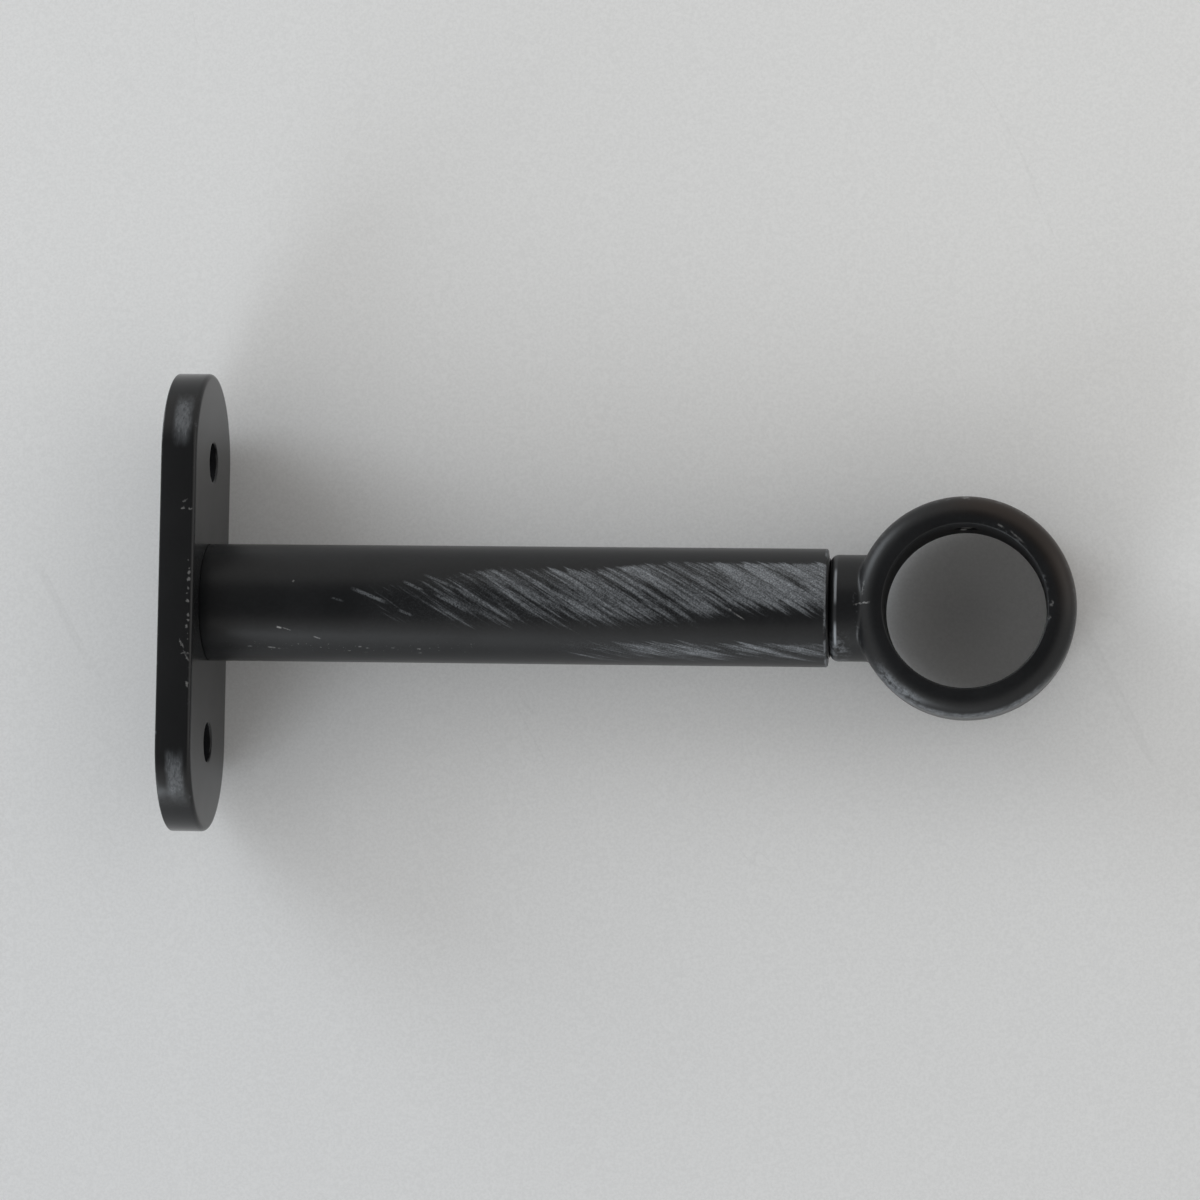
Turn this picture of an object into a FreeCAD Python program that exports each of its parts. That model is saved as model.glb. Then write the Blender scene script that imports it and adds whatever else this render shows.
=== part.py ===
import FreeCAD, Part
import math
import os
import Sketcher

# Curtain pole bracket. A wall plate with full-round ends carries a straight tube arm, and the arm
# carries a ring head that a 25 mm curtain pole passes through.
# Frame: the origin is the centre of the plate's back face, on the wall. +X runs out along the arm,
# +Z is up along the plate, and the ring's bore runs along Y.
# Fine threads are plain cylinders at their outer diameter, in holes a named clearance wider.

doc = FreeCAD.newDocument("CurtainPoleBracket")

# Driving dimensions in millimetres
DIMENSIONS = (
    ("plate_length", 78.5, "wall plate from end to end, along Z"),
    ("plate_width", 30.0, "wall plate across, along Y"),
    ("plate_thickness", 6.0, "wall plate, along X"),
    ("plate_front_radius", 0.8, "rounding of the plate's front edge"),
    ("plate_back_bevel", 0.3, "bevel of the plate's back edge"),
    ("wall_hole_diameter", 6.6, "holes for the wall screws"),
    ("wall_hole_spacing", 48.0, "between the centres of the wall screw holes"),
    ("wall_hole_bevel", 0.35, "bevel at both mouths of a wall screw hole"),
    ("arm_diameter", 20.0, "outside of the arm tube"),
    ("arm_wall", 1.5, "wall of the arm tube"),
    ("arm_length", 105.8, "arm tube from end to end"),
    ("arm_end_bevel", 0.35, "bevel outside the tube's free end"),
    ("arm_inner_bevel", 0.4, "bevel inside both ends of the tube"),
    ("plug_clearance", 0.04, "radial, between a plug and the tube"),
    ("plug_bevel", 0.8, "bevel of a plug's pressed end"),
    ("rear_plug_length", 14.0, "plug at the wall end of the tube"),
    ("rear_plug_setback", 0.3, "from the plate to the rear plug, so that the tube's end seats"),
    ("front_plug_length", 16.0, "plug at the ring end of the tube"),
    ("joint_gap", 0.4, "open groove between the tube's end and the ring head's collar"),
    ("thread_diameter", 6.0, "plate screw and head stud"),
    ("thread_clearance", 0.04, "radial, between a thread and its tapped hole"),
    ("thread_bevel", 0.6, "bevel at the end of a thread and at the mouth of its hole"),
    ("screw_clearance", 0.2, "radial, between the plate screw and the plate"),
    ("screw_head_diameter", 11.6, "countersunk head of the plate screw"),
    ("screw_head_sink", 0.2, "plate screw's head below the plate's back"),
    ("screw_seat_clearance", 0.02, "along X, between the screw head's cone and its seat"),
    ("screw_length", 15.8, "plate screw over all"),
    ("screw_socket_width", 4.0, "plate screw's hexagon socket across its flats"),
    ("screw_socket_depth", 2.2, "plate screw's hexagon socket"),
    ("collar_step", 1.0, "radial, from the tube's outside in to the ring head's collar"),
    ("collar_length", 4.2, "from the collar's face to the ring's outside, on the arm's axis"),
    ("collar_edge_radius", 1.4, "rounding of the collar's face edge"),
    ("neck_radius", 0.9, "hollow blend between the collar and the ring"),
    ("bore_diameter", 27.2, "bore for the curtain pole"),
    ("bore_bevel", 0.35, "bevel at both mouths of the bore"),
    ("ring_wall", 4.9, "from the bore to the ring's outside"),
    ("ring_lip", 1.0, "from the collar's side out to the ring's flat face, along Y"),
    ("ring_shoulder_radius", 3.6, "rounding of the ring's outer edges"),
    ("stud_grip", 10.0, "length of the head stud inside the front plug"),
    ("stud_end_gap", 0.6, "between the stud and the bottom of its hole in the ring head"),
    ("stud_hole_floor", 1.8, "metal between the stud's hole and the bore"),
    ("grub_diameter", 4.0, "grub screw that clamps the pole"),
    ("grub_clearance", 0.03, "radial, between the grub screw and its tapped hole"),
    ("grub_tip_diameter", 2.4, "cup point of the grub screw"),
    ("grub_tip_length", 0.7, "taper of the grub screw's cup point"),
    ("grub_cup_depth", 0.5, "hollow in the cup point"),
    ("grub_recess", 0.15, "cup point behind the bore's surface"),
    ("grub_sink", 0.35, "grub screw's socket end below the ring's outside"),
    ("grub_bevel", 0.3, "bevel of the grub screw's socket end and of its hole"),
    ("grub_socket_width", 2.0, "grub screw's hexagon socket across its flats"),
    ("grub_socket_depth", 1.9, "grub screw's hexagon socket"),
)

sheet = doc.addObject("Spreadsheet::Sheet", "Sizes")
for row, (alias, value, meaning) in enumerate(DIMENSIONS, start=1):
    sheet.set(f"A{row}", meaning)
    sheet.set(f"B{row}", str(value))
    sheet.setAlias(f"B{row}", alias)
doc.recompute()

# Places along the arm, from the wall outwards
ARM_END = "Sizes.plate_thickness + Sizes.arm_length"
COLLAR_FACE = f"{ARM_END} + Sizes.joint_gap"
RING_RADIUS = "(Sizes.bore_diameter / 2 + Sizes.ring_wall)"
COLLAR_TO_CENTRE = f"(Sizes.collar_length + {RING_RADIUS})"
RING_CENTRE = f"{COLLAR_FACE} + {COLLAR_TO_CENTRE}"

# Radii and depths that several pieces share
ARM_INNER = "(Sizes.arm_diameter / 2 - Sizes.arm_wall)"
PLUG_RADIUS = f"({ARM_INNER} - Sizes.plug_clearance)"
THREAD_RADIUS = "(Sizes.thread_diameter / 2)"
TAPPED_RADIUS = f"({THREAD_RADIUS} + Sizes.thread_clearance)"
COLLAR_RADIUS = "(Sizes.arm_diameter / 2 - Sizes.collar_step)"
RING_WIDTH = f"(2 * ({COLLAR_RADIUS} + Sizes.ring_lip))"
STUD_HOLE_DEPTH = "(Sizes.collar_length + Sizes.ring_wall - Sizes.stud_hole_floor)"
GRUB_RADIUS = "(Sizes.grub_diameter / 2)"
GRUB_HOLE_RADIUS = f"({GRUB_RADIUS} + Sizes.grub_clearance)"


def number(formula):
    """The value that a formula over the sizes has now."""
    return float(sheet.evalExpression(formula))


def new_body(label, along_arm="0"):
    """An empty body whose own origin lies on the arm's axis, at a place along the arm."""
    body = doc.addObject("PartDesign::Body", label)
    body.Label = label
    body.setExpression("Placement.Base.x", along_arm)
    return body


def new_sketch(body, name, plane):
    """An empty sketch on one of the body's own origin planes."""
    sketch = body.newObject("Sketcher::SketchObject", name)
    support = next(item for item in body.Origin.OriginFeatures if item.Role == plane)
    sketch.AttachmentSupport = (support, [""])
    sketch.MapMode = "FlatFace"
    return sketch


def place(sketch, geometry, point, across, up):
    """Ties one point of a sketch to two formulas, measured from the sketch's origin."""
    for kind, axis, formula in (("DistanceX", -2, across), ("DistanceY", -1, up)):
        if formula == "0":
            sketch.addConstraint(Sketcher.Constraint("PointOnObject", geometry, point, axis))
        else:
            added = sketch.addConstraint(
                Sketcher.Constraint(kind, -1, 1, geometry, point, number(formula)))
            sketch.setExpression(f"Constraints[{added}]", formula)


def add_circle(sketch, radius, up="0"):
    """A circle on the sketch's vertical axis; its radius and its height there are formulas."""
    centre = FreeCAD.Vector(0, number(up), 0)
    circle = sketch.addGeometry(Part.Circle(centre, FreeCAD.Vector(0, 0, 1), number(radius)))
    place(sketch, circle, 3, "0", up)
    added = sketch.addConstraint(Sketcher.Constraint("Radius", circle, number(radius)))
    sketch.setExpression(f"Constraints[{added}]", radius)


def add_outline(sketch, corners):
    """A closed outline of straight sides; each corner is a pair of formulas."""
    points = [FreeCAD.Vector(number(across), number(up), 0) for across, up in corners]
    sides = [sketch.addGeometry(Part.LineSegment(start, end))
             for start, end in zip(points, points[1:] + points[:1])]
    for side, before, (across, up) in zip(sides, sides[-1:] + sides[:-1], corners):
        sketch.addConstraint(Sketcher.Constraint("Coincident", before, 2, side, 1))
        place(sketch, side, 1, across, up)


def add_hexagon(sketch, width):
    """A regular hexagon about the origin, a given width across its flats, one corner up."""
    half = f"({width} / 2)"
    side = f"({width} / sqrt(3))"
    add_outline(sketch, (
        ("0", side), (f"-{half}", f"{side} / 2"), (f"-{half}", f"-{side} / 2"),
        ("0", f"-{side}"), (half, f"-{side} / 2"), (half, f"{side} / 2")))


def add_full_round_slot(sketch, length, width):
    """A slot outline along the sketch's vertical axis, centred, with half-circle ends."""
    radius = number(f"{width} / 2")
    centre = number(f"({length} - {width}) / 2")
    normal = FreeCAD.Vector(0, 0, 1)
    top_circle = Part.Circle(FreeCAD.Vector(0, centre, 0), normal, radius)
    low_circle = Part.Circle(FreeCAD.Vector(0, -centre, 0), normal, radius)
    top = sketch.addGeometry(Part.ArcOfCircle(top_circle, 0, math.pi))
    left = sketch.addGeometry(Part.LineSegment(
        FreeCAD.Vector(-radius, centre, 0), FreeCAD.Vector(-radius, -centre, 0)))
    low = sketch.addGeometry(Part.ArcOfCircle(low_circle, math.pi, 2 * math.pi))
    right = sketch.addGeometry(Part.LineSegment(
        FreeCAD.Vector(radius, -centre, 0), FreeCAD.Vector(radius, centre, 0)))
    sketch.addConstraint([
        Sketcher.Constraint("Tangent", top, 2, left, 1),
        Sketcher.Constraint("Tangent", left, 2, low, 1),
        Sketcher.Constraint("Tangent", low, 2, right, 1),
        Sketcher.Constraint("Tangent", right, 2, top, 1),
        Sketcher.Constraint("PointOnObject", top, 3, -2),
        Sketcher.Constraint("Symmetric", top, 3, low, 3, -1, 1),
    ])
    added = sketch.addConstraint(Sketcher.Constraint("Radius", top, radius))
    sketch.setExpression(f"Constraints[{added}]", f"{width} / 2")
    added = sketch.addConstraint(Sketcher.Constraint("DistanceY", low, 3, top, 3, 2 * centre))
    sketch.setExpression(f"Constraints[{added}]", f"{length} - {width}")


def volume(body):
    """The body's volume so far, which is nothing while it has no solid."""
    return 0.0 if body.Shape.isNull() else body.Shape.Volume


def pad(body, sketch, length, name, both_ways=False, backwards=False):
    """Fills a sketch to a length along its normal."""
    feature = body.newObject("PartDesign::Pad", name)
    feature.Profile = sketch
    feature.setExpression("Length", length)
    feature.Midplane = both_ways
    feature.Reversed = backwards
    doc.recompute()
    return feature


def pocket(body, sketch, length, name, both_ways=False, along_normal=False):
    """Cuts a sketch out, against its normal unless told otherwise, and makes sure that it cuts."""
    before = volume(body)
    feature = body.newObject("PartDesign::Pocket", name)
    feature.Profile = sketch
    feature.setExpression("Length", length)
    feature.Midplane = both_ways
    feature.Reversed = along_normal
    doc.recompute()
    if volume(body) >= before:
        raise RuntimeError(f"{name} cuts nothing")
    return feature


def turn(body, name, corners, axis="H_Axis", cuts=False):
    """Turns an outline in the XZ plane through a full circle about one of its sketch's axes.

    It adds a turned solid to the body, or cuts a turned hole out of it.
    """
    before = volume(body)
    sketch = new_sketch(body, f"{name}_profile", "XZ_Plane")
    add_outline(sketch, corners)
    feature = body.newObject("PartDesign::Groove" if cuts else "PartDesign::Revolution", name)
    feature.Profile = sketch
    feature.ReferenceAxis = (sketch, [axis])
    feature.Angle = 360
    doc.recompute()
    if cuts and volume(body) >= before:
        raise RuntimeError(f"{name} cuts nothing")
    return feature


def edges_where(feature, wanted):
    """Names of the feature's edges for which wanted(edge) is true."""
    names = [f"Edge{index}" for index, edge in enumerate(feature.Shape.Edges, start=1) if wanted(edge)]
    if not names:
        raise RuntimeError(f"{feature.Name} has no such edge")
    return names


def round_edges(body, base, wanted, radius, name):
    """Rounds or hollows the chosen edges of a feature to a radius."""
    feature = body.newObject("PartDesign::Fillet", name)
    feature.Base = (base, edges_where(base, wanted))
    feature.setExpression("Radius", radius)
    doc.recompute()
    return feature


def bevel_edges(body, base, wanted, size, name):
    """Bevels the chosen edges of a feature at 45 degrees."""
    feature = body.newObject("PartDesign::Chamfer", name)
    feature.Base = (base, edges_where(base, wanted))
    feature.setExpression("Size", size)
    doc.recompute()
    return feature


def lies_at(edge, axis, value, tolerance=0.001):
    """True if the whole edge lies in the plane where the axis has this value."""
    box = edge.BoundBox
    low, high = getattr(box, f"{axis}Min"), getattr(box, f"{axis}Max")
    return abs(low - value) < tolerance and abs(high - value) < tolerance


def wraps_round(edge, radius, tolerance=0.01):
    """True if the edge is curved and keeps this distance from the body's X axis all along."""
    points = edge.discretize(7)
    return (not isinstance(edge.Curve, Part.Line)
            and all(abs(math.hypot(point.y, point.z) - radius) < tolerance for point in points))


def is_circle(edge, radius, tolerance=0.001):
    """True if the edge is a circle, or part of one, of this radius."""
    return hasattr(edge.Curve, "Radius") and abs(edge.Curve.Radius - radius) < tolerance


# Wall plate: full-round outline, two wall screw holes, and a countersunk hole in its back
def make_wall_plate():
    body = new_body("wall_plate")
    outline = new_sketch(body, "plate_outline", "YZ_Plane")
    add_full_round_slot(outline, "Sizes.plate_length", "Sizes.plate_width")
    slab = pad(body, outline, "Sizes.plate_thickness", "plate_slab")
    thickness = number("Sizes.plate_thickness")
    rounded = round_edges(
        body, slab, lambda edge: lies_at(edge, "X", thickness),
        "Sizes.plate_front_radius", "plate_front_edge")
    bevel_edges(
        body, rounded, lambda edge: lies_at(edge, "X", 0),
        "Sizes.plate_back_bevel", "plate_back_edge")

    holes = new_sketch(body, "wall_hole_circles", "YZ_Plane")
    for side in ("", "-"):
        add_circle(holes, "Sizes.wall_hole_diameter / 2", up=f"{side}Sizes.wall_hole_spacing / 2")
    drilled = pocket(body, holes, "Sizes.plate_thickness", "wall_holes", along_normal=True)
    hole_radius = number("Sizes.wall_hole_diameter / 2")
    bevel_edges(
        body, drilled, lambda edge: is_circle(edge, hole_radius) and edge.BoundBox.XLength < 0.001,
        "Sizes.wall_hole_bevel", "wall_hole_mouths")

    # The plate screw's hole opens in a cone whose seat keeps a small gap to the head
    cone_mouth = ("(Sizes.screw_head_diameter / 2 + Sizes.screw_head_sink"
                  " + Sizes.screw_seat_clearance)")
    passage = f"({THREAD_RADIUS} + Sizes.screw_clearance)"
    turn(body, "screw_seat", (
        ("0", "0"), ("0", cone_mouth), (f"{cone_mouth} - {passage}", passage),
        ("Sizes.plate_thickness", passage), ("Sizes.plate_thickness", "0")), cuts=True)
    return body


# Arm tube: one plain tube, its free end bevelled outside, both mouths bevelled inside
def make_arm_tube():
    body = new_body("arm_tube", "Sizes.plate_thickness")
    section = new_sketch(body, "tube_section", "YZ_Plane")
    add_circle(section, "Sizes.arm_diameter / 2")
    add_circle(section, ARM_INNER)
    tube = pad(body, section, "Sizes.arm_length", "tube")
    outer = number("Sizes.arm_diameter / 2")
    inner = number(ARM_INNER)
    length = number("Sizes.arm_length")
    free_end = bevel_edges(
        body, tube, lambda edge: is_circle(edge, outer) and lies_at(edge, "X", length),
        "Sizes.arm_end_bevel", "tube_free_end")
    bevel_edges(
        body, free_end, lambda edge: is_circle(edge, inner) and edge.BoundBox.XLength < 0.001,
        "Sizes.arm_inner_bevel", "tube_mouths")
    return body


# A plug is a turned bush with a tapped hole, bevelled where it is pressed into the tube
def make_plug(label, along_arm, length, pressed_end_first):
    body = new_body(label, along_arm)
    pressed = "Sizes.plug_bevel"
    flat = "Sizes.plug_bevel / 4"
    start, end = (pressed, flat) if pressed_end_first else (flat, pressed)
    mouth = f"({TAPPED_RADIUS} + Sizes.thread_bevel)"
    turn(body, f"{label}_turning", (
        ("0", mouth), ("0", f"{PLUG_RADIUS} - {start}"), (start, PLUG_RADIUS),
        (f"{length} - {end}", PLUG_RADIUS), (length, f"{PLUG_RADIUS} - {end}"),
        (length, mouth), (f"{length} - Sizes.thread_bevel", TAPPED_RADIUS),
        ("Sizes.thread_bevel", TAPPED_RADIUS)))
    return body


# Plate screw: countersunk head in the plate's back, hexagon socket, thread into the rear plug
def make_plate_screw():
    body = new_body("plate_screw", "Sizes.screw_head_sink")
    head = "Sizes.screw_head_diameter / 2"
    turn(body, "screw_turning", (
        ("0", "0"), ("0", head), (f"{head} - {THREAD_RADIUS}", THREAD_RADIUS),
        ("Sizes.screw_length - Sizes.thread_bevel", THREAD_RADIUS),
        ("Sizes.screw_length", f"{THREAD_RADIUS} - Sizes.thread_bevel"),
        ("Sizes.screw_length", "0")))
    socket = new_sketch(body, "screw_socket_outline", "YZ_Plane")
    add_hexagon(socket, "Sizes.screw_socket_width")
    pocket(body, socket, "Sizes.screw_socket_depth", "screw_socket", along_normal=True)
    return body


# Head stud: joins the front plug and the ring head, bevelled at both ends
def make_head_stud():
    body = new_body("head_stud", f"{COLLAR_FACE} - Sizes.stud_grip")
    length = f"(Sizes.stud_grip + {STUD_HOLE_DEPTH} - Sizes.stud_end_gap)"
    tip = f"{THREAD_RADIUS} - Sizes.thread_bevel"
    turn(body, "stud_turning", (
        ("0", "0"), ("0", tip), ("Sizes.thread_bevel", THREAD_RADIUS),
        (f"{length} - Sizes.thread_bevel", THREAD_RADIUS), (length, tip), (length, "0")))
    return body


# Ring head: ring and collar cast in one, with a hollow blend between them. Its body's origin is
# the ring's centre.
def make_ring_head():
    body = new_body("ring_head", RING_CENTRE)
    outer = number(RING_RADIUS)
    disc_outline = new_sketch(body, "ring_outline", "XZ_Plane")
    add_circle(disc_outline, RING_RADIUS)
    disc = pad(body, disc_outline, RING_WIDTH, "ring_disc", both_ways=True)
    round_edges(
        body, disc, lambda edge: is_circle(edge, outer) and edge.BoundBox.YLength < 0.001,
        "Sizes.ring_shoulder_radius", "ring_shoulders")

    # The collar reaches back from the ring's centre; the bore clears its inner part away
    collar_outline = new_sketch(body, "collar_outline", "YZ_Plane")
    add_circle(collar_outline, COLLAR_RADIUS)
    collar = pad(body, collar_outline, COLLAR_TO_CENTRE, "collar", backwards=True)
    reach = number(COLLAR_TO_CENTRE)
    collar_radius = number(COLLAR_RADIUS)
    neck = round_edges(
        body, collar, lambda edge: wraps_round(edge, collar_radius) and not lies_at(edge, "X", -reach),
        "Sizes.neck_radius", "neck_blend")
    round_edges(
        body, neck, lambda edge: lies_at(edge, "X", -reach),
        "Sizes.collar_edge_radius", "collar_face_edge")

    bore_outline = new_sketch(body, "bore_outline", "XZ_Plane")
    add_circle(bore_outline, "Sizes.bore_diameter / 2")
    bore = pocket(body, bore_outline, f"{RING_WIDTH} + 1", "bore", both_ways=True)
    bore_radius = number("Sizes.bore_diameter / 2")
    bevel_edges(
        body, bore, lambda edge: is_circle(edge, bore_radius) and edge.BoundBox.YLength < 0.001,
        "Sizes.bore_bevel", "bore_mouths")

    # Tapped hole for the stud, from the collar's face to a floor short of the bore
    face = f"-({COLLAR_TO_CENTRE})"
    floor = "-(Sizes.bore_diameter / 2 + Sizes.stud_hole_floor)"
    turn(body, "stud_hole", (
        (face, "0"), (face, f"{TAPPED_RADIUS} + Sizes.thread_bevel"),
        (f"{face} + Sizes.thread_bevel", TAPPED_RADIUS), (floor, TAPPED_RADIUS), (floor, "0")),
        cuts=True)

    # Tapped hole for the grub screw, straight up through the ring's wall, its mouth bevelled
    turn(body, "grub_hole", (
        ("0", "0"), (GRUB_HOLE_RADIUS, "0"), (GRUB_HOLE_RADIUS, f"{RING_RADIUS} - Sizes.grub_bevel"),
        (f"{GRUB_HOLE_RADIUS} + Sizes.grub_bevel + 1", f"{RING_RADIUS} + 1"),
        ("0", f"{RING_RADIUS} + 1")), axis="V_Axis", cuts=True)
    return body


# Grub screw: cup point towards the pole, hexagon socket outside
def make_grub_screw():
    body = new_body("grub_screw", RING_CENTRE)
    tip = "(Sizes.bore_diameter / 2 + Sizes.grub_recess)"
    top = f"({RING_RADIUS} - Sizes.grub_sink)"
    point = "Sizes.grub_tip_diameter / 2"
    turn(body, "grub_turning", (
        ("0", f"{tip} + Sizes.grub_cup_depth"), (point, tip),
        (GRUB_RADIUS, f"{tip} + Sizes.grub_tip_length"), (GRUB_RADIUS, f"{top} - Sizes.grub_bevel"),
        (f"{GRUB_RADIUS} - Sizes.grub_bevel", top), ("0", top)), axis="V_Axis")
    socket = new_sketch(body, "grub_socket_outline", "XY_Plane")
    socket.setExpression("AttachmentOffset.Base.z", top)
    add_hexagon(socket, "Sizes.grub_socket_width")
    pocket(body, socket, "Sizes.grub_socket_depth", "grub_socket")
    return body


pieces = [
    make_wall_plate(),
    make_arm_tube(),
    make_plug("rear_plug", "Sizes.plate_thickness + Sizes.rear_plug_setback",
              "Sizes.rear_plug_length", pressed_end_first=False),
    make_plug("front_plug", f"{COLLAR_FACE} - Sizes.front_plug_length",
              "Sizes.front_plug_length", pressed_end_first=True),
    make_plate_screw(),
    make_head_stud(),
    make_ring_head(),
    make_grub_screw(),
]
doc.recompute()

# Every object must be sound before anything is written
for item in doc.Objects:
    if "Invalid" in item.State or "Error" in item.State:
        raise RuntimeError(f"{item.Label} failed: {item.State}")
for piece in pieces:
    if piece.Shape.isNull() or not piece.Shape.isValid() or len(piece.Shape.Solids) != 1:
        raise RuntimeError(f"{piece.Label} is not one sound solid")

os.makedirs("parts", exist_ok=True)
for piece in pieces:
    piece.Shape.exportStep(f"parts/{piece.Label}.step")
    box = piece.Shape.BoundBox
    print(f"{piece.Label}: X {box.XMin:.2f} to {box.XMax:.2f}, Y {box.YMin:.2f} to {box.YMax:.2f},"
          f" Z {box.ZMin:.2f} to {box.ZMax:.2f}, {piece.Shape.Volume:.0f} mm3")
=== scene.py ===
"""Curtain pole bracket: plate, brushed arm tube and ring head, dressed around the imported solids."""
import math

import bmesh
import bpy
import numpy as np
from mathutils import Matrix, Vector


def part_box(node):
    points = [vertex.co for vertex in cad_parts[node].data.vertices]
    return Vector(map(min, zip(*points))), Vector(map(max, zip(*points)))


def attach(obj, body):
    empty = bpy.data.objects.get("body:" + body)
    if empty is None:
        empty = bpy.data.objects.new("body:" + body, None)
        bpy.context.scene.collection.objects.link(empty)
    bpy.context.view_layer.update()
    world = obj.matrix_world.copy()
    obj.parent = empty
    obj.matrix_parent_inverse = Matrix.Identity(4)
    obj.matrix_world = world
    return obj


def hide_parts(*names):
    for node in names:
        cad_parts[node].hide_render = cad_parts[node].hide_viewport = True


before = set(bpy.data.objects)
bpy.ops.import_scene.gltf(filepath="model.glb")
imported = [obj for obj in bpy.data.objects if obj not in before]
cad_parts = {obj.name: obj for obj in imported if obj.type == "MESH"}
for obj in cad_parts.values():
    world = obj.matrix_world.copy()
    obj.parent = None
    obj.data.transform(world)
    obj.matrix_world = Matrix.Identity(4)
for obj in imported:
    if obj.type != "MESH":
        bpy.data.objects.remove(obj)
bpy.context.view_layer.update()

# Sizes in millimetres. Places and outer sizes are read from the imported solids.
MM = 0.001


def node_box(node):
    """Lowest and highest corner of a CAD node in millimetres."""
    low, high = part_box(node)
    return [c / MM for c in low], [c / MM for c in high]


plate_low, plate_high = node_box("wall_plate")
tube_low, tube_high = node_box("arm_tube")
head_low, head_high = node_box("ring_head")
grub_low, grub_high = node_box("grub_screw")
screw_low, screw_high = node_box("plate_screw")
stud_low, stud_high = node_box("head_stud")

PLATE_FRONT = plate_high[0]
PLATE_HALF_WIDTH = plate_high[1]
PLATE_END_CENTRE = plate_high[2] - PLATE_HALF_WIDTH
PLATE_FRONT_ROUND = 0.8
PLATE_BACK_ROUND = 0.3
WALL_HOLE_RADIUS = 3.3
WALL_HOLE_UP = 24.0
HOLE_MOUTH_ROUND = 0.35
SCREW_HOLE_RADIUS = 3.2
COUNTERSINK_RADIUS = 6.02
COUNTERSINK_DEPTH = 2.82
CELL_EDGE = 12.0
TUBE_RADIUS = tube_high[1]
TUBE_INNER = 8.5
TUBE_END = tube_high[0]
RING_RADIUS = head_high[2]
RING_CENTRE = head_high[0] - RING_RADIUS
RING_HALF_WIDTH = head_high[1]
RING_SHOULDER = 3.6
BORE_RADIUS = 13.6
BORE_ROUND = 0.35
COLLAR_FACE = head_low[0]
COLLAR_RADIUS = TUBE_RADIUS - 1.0
COLLAR_ROUND = 1.4
NECK_REACH = 0.52
TAPPED_RADIUS = 3.04
STUD_HOLE_WALL = 1.8
GRUB_HOLE_RADIUS = 2.03
GRUB_RADIUS = 2.0
SCREW_RADIUS = 3.0
SCREW_END_RADIUS = 2.4
SCREW_PITCH = 1.0
SCREW_GROOVE = 0.58
MERGE_DISTANCE = 0.0004


# Meshes
def rounded(corners, steps=5):
    """Line through (a, b, radius) corners, each corner replaced by an arc of its radius that
    touches both runs."""
    points = np.array([c[:2] for c in corners], float)
    line = [points[:1]]
    for before, at, after, (_, _, radius) in zip(points, points[1:], points[2:], corners[1:-1]):
        if radius == 0:
            line.append(at[None])
            continue
        to_before = (before - at) / np.linalg.norm(before - at)
        to_after = (after - at) / np.linalg.norm(after - at)
        half_opening = math.acos(np.clip(to_before @ to_after, -1, 1)) / 2
        middle = to_before + to_after
        centre = at + middle / np.linalg.norm(middle) * radius / math.sin(half_opening)
        start = at + to_before * radius / math.tan(half_opening) - centre
        end = at + to_after * radius / math.tan(half_opening) - centre
        turn = math.pi - 2 * half_opening
        share = np.linspace(0, 1, steps + 1)[:, None]
        arc = (np.sin((1 - share) * turn) * start + np.sin(share * turn) * end) / math.sin(turn)
        line.append(centre + arc)
    line.append(points[-1:])
    return np.concatenate(line)


def filled(line, step):
    """The same line with points no further than step apart: each run is cut into equal parts."""
    parts = []
    for a, b in zip(line, line[1:]):
        count = max(1, math.ceil(np.linalg.norm(b - a) / step))
        parts.append(a + (b - a) * np.arange(count)[:, None] / count)
    return np.concatenate(parts + [line[-1:]])


def turned(along, radius, around, centre=(0, 0, 0), axis="X"):
    """Surface of revolution: at each place along the axis, a ring whose radius may change with the
    angle. Columns are angles from +Z towards +Y for an X axis, from +X towards +Y for a Z axis."""
    along = np.broadcast_to(np.reshape(along, (-1, 1)), (len(along), len(around)))
    if np.ndim(radius) == 1:
        radius = np.reshape(radius, (-1, 1))
    radius = np.broadcast_to(radius, along.shape)
    across, other = radius * np.cos(around), radius * np.sin(around)
    order = (along, other, across) if axis == "X" else (across, other, along)
    return np.stack(order, axis=-1) + np.array(centre)


def full_circle(count):
    """Angles once round in equal steps, from 0 to a full turn, both included."""
    return np.linspace(0, 2 * math.pi, count + 1)


def in_scene(name, made):
    """New object for a mesh, lamp or camera, at the origin."""
    thing = bpy.data.objects.new(name, made)
    bpy.context.scene.collection.objects.link(thing)
    return thing


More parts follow.
